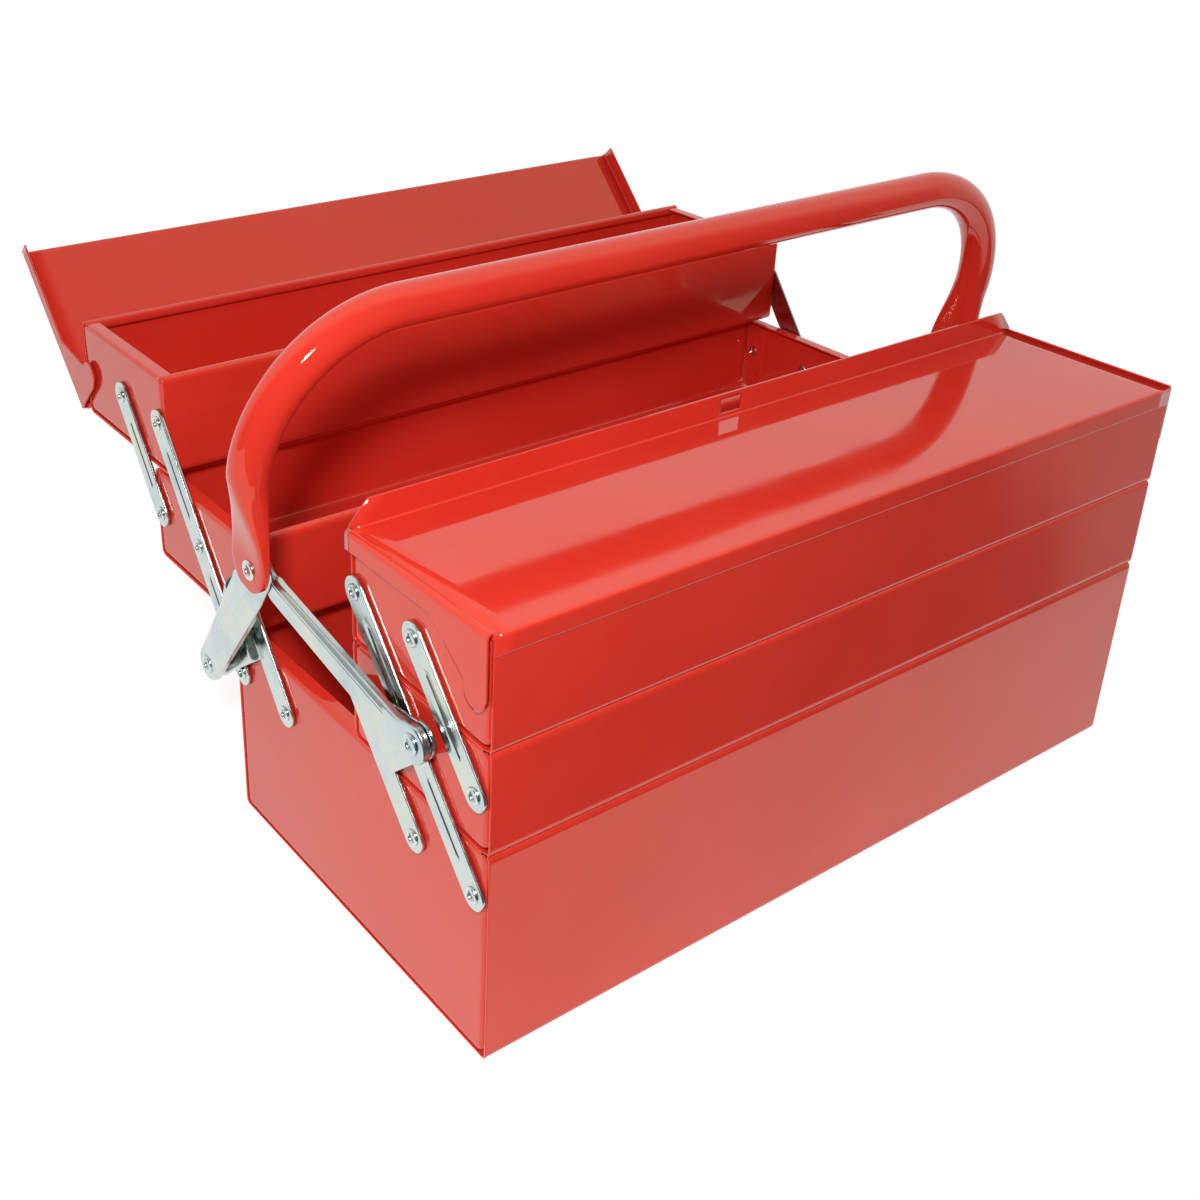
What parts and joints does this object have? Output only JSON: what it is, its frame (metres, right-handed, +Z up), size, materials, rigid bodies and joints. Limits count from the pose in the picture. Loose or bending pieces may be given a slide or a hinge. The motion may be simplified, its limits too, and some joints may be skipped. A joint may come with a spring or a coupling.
{
  "type": "cantilever tool box",
  "caption": "Red sheet-steel cantilever tool box with a deep base, stacked trays that swing out on flat links, folding lids with padlock holes, and a tube carrying handle.",
  "frame": {"origin": "middle of the base's underside", "axes": "+Z up, X along the box, +Y to the back, which is drawn open; the front side is drawn closed"},
  "size_m": [0.465, 0.4398, 0.2817],
  "materials": {
    "red_paint": "gloss red paint with a light orange peel",
    "handle_paint": "gloss red paint on bent tube",
    "zinc_steel": "bright zinc plating with a faint yellow tint",
    "rivet_steel": "bright zinc-plated tubular rivets"
  },
  "bodies": {
    "base": {"base_body": "red_paint", "base_end_left": "red_paint", "base_end_right": "red_paint", "base_link_rivets": "rivet_steel"},
    "front_mid_tray": {"front_mid_tray_body": "red_paint", "front_mid_tray_end_left": "red_paint", "front_mid_tray_end_right": "red_paint", "front_mid_tray_rivets": "rivet_steel"},
    "front_top_tray": {"front_top_tray_body": "red_paint", "front_top_tray_end_left": "red_paint", "front_top_tray_end_right": "red_paint", "front_top_tray_rivets": "rivet_steel", "front_lid_rivets": "rivet_steel"},
    "front_lid": {"front_lid": "red_paint"},
    "front_long_arms": {"front_long_arm_left": "zinc_steel", "front_long_arm_right": "zinc_steel"},
    "front_lower_links": {"front_lower_link_left": "zinc_steel", "front_lower_link_right": "zinc_steel"},
    "front_upper_links": {"front_upper_link_left": "zinc_steel", "front_upper_link_right": "zinc_steel"},
    "front_handle_links": {"front_handle_link_left": "zinc_steel", "front_handle_link_right": "zinc_steel", "front_wing_rivets": "rivet_steel"},
    "back_mid_tray": {"back_mid_tray_body": "red_paint", "back_mid_tray_end_left": "red_paint", "back_mid_tray_end_right": "red_paint", "back_mid_tray_rivets": "rivet_steel"},
    "back_top_tray": {"back_top_tray_body": "red_paint", "back_top_tray_end_left": "red_paint", "back_top_tray_end_right": "red_paint", "back_top_tray_rivets": "rivet_steel", "back_lid_rivets": "rivet_steel"},
    "back_lid": {"back_lid": "red_paint"},
    "back_long_arms": {"back_long_arm_left": "zinc_steel", "back_long_arm_right": "zinc_steel"},
    "back_lower_links": {"back_lower_link_left": "zinc_steel", "back_lower_link_right": "zinc_steel", "back_wing_rivets": "rivet_steel"},
    "back_upper_links": {"back_upper_link_left": "zinc_steel", "back_upper_link_right": "zinc_steel"},
    "back_handle_links": {"back_handle_link_left": "zinc_steel", "back_handle_link_right": "zinc_steel", "handle_rivets": "rivet_steel"},
    "handle": {"handle": "handle_paint"}
  },
  "joints": [
    {"name": "front_swing", "type": "hinge", "parent": "base", "child": "front_long_arms", "pos_m": [0, -0.0933, 0.0805], "axis": [1, 0, 0], "range_deg": [0, 78.5]},
    {"name": "front_mid_tray_pivot", "type": "hinge", "parent": "front_long_arms", "child": "front_mid_tray", "pos_m": [0, -0.0521, 0.127], "axis": [1, 0, 0], "range_deg": [-79, 0]},
    {"name": "front_top_tray_pivot", "type": "hinge", "parent": "front_long_arms", "child": "front_top_tray", "pos_m": [0, -0.0109, 0.1735], "axis": [1, 0, 0], "range_deg": [-79, 0]},
    {"name": "front_lower_link_pivot", "type": "hinge", "parent": "base", "child": "front_lower_links", "pos_m": [0, -0.0521, 0.0805], "axis": [1, 0, 0], "range_deg": [0, 79]},
    {"name": "front_upper_link_pivot", "type": "hinge", "parent": "front_mid_tray", "child": "front_upper_links", "pos_m": [0, -0.0933, 0.127], "axis": [1, 0, 0], "range_deg": [0, 79]},
    {"name": "front_lid_hinge", "type": "hinge", "parent": "front_top_tray", "child": "front_lid", "pos_m": [0, -0.0927, 0.171], "axis": [1, 0, 0], "range_deg": [0, 134]},
    {"name": "back_swing", "type": "hinge", "parent": "base", "child": "back_long_arms", "pos_m": [0, 0.0933, 0.0805], "axis": [-1, 0, 0], "range_deg": [-78.5, 0]},
    {"name": "back_mid_tray_pivot", "type": "hinge", "parent": "back_long_arms", "child": "back_mid_tray", "pos_m": [0, 0.13065, 0.13014], "axis": [-1, 0, 0], "range_deg": [0, 79]},
    {"name": "back_top_tray_pivot", "type": "hinge", "parent": "back_long_arms", "child": "back_top_tray", "pos_m": [0, 0.168, 0.17979], "axis": [-1, 0, 0], "range_deg": [0, 79]},
    {"name": "back_lower_link_pivot", "type": "hinge", "parent": "base", "child": "back_lower_links", "pos_m": [0, 0.0521, 0.0805], "axis": [-1, 0, 0], "range_deg": [-79, 0]},
    {"name": "back_upper_link_pivot", "type": "hinge", "parent": "back_mid_tray", "child": "back_upper_links", "pos_m": [0, 0.17185, 0.13014], "axis": [-1, 0, 0], "range_deg": [-79, 0]},
    {"name": "back_lid_hinge", "type": "hinge", "parent": "back_top_tray", "child": "back_lid", "pos_m": [0, 0.2498, 0.17729], "axis": [-1, 0, 0], "range_deg": [-134, 0]},
    {"name": "back_handle_link_turn", "type": "hinge", "parent": "back_lower_links", "child": "back_handle_links", "pos_m": [0, 0.10847, 0.08033], "axis": [-1, 0, 0], "range_deg": [0, 81.69]},
    {"name": "front_handle_link_turn", "type": "hinge", "parent": "back_handle_links", "child": "front_handle_links", "pos_m": [0, 0.0409, 0.16523], "axis": [1, 0, 0], "range_deg": [0, 41.58]},
    {"name": "handle_hinge", "type": "hinge", "parent": "back_handle_links", "child": "handle", "pos_m": [0, 0.0409, 0.16523], "axis": [1, 0, 0], "range_deg": [-93, 30]}
  ],
  "couplings": [
    {"joint": "front_mid_tray_pivot", "follows": "front_swing", "ratio": -1},
    {"joint": "front_top_tray_pivot", "follows": "front_swing", "ratio": -1},
    {"joint": "front_lower_link_pivot", "follows": "front_swing", "ratio": 1},
    {"joint": "front_upper_link_pivot", "follows": "front_swing", "ratio": 1},
    {"joint": "back_mid_tray_pivot", "follows": "back_swing", "ratio": -1},
    {"joint": "back_top_tray_pivot", "follows": "back_swing", "ratio": -1},
    {"joint": "back_lower_link_pivot", "follows": "back_swing", "ratio": 1},
    {"joint": "back_upper_link_pivot", "follows": "back_swing", "ratio": 1},
    {"joint": "back_handle_link_turn", "follows": "back_swing", "ratio": -1.0343},
    {"joint": "front_handle_link_turn", "follows": "back_swing", "ratio": -0.52326}
  ]
}
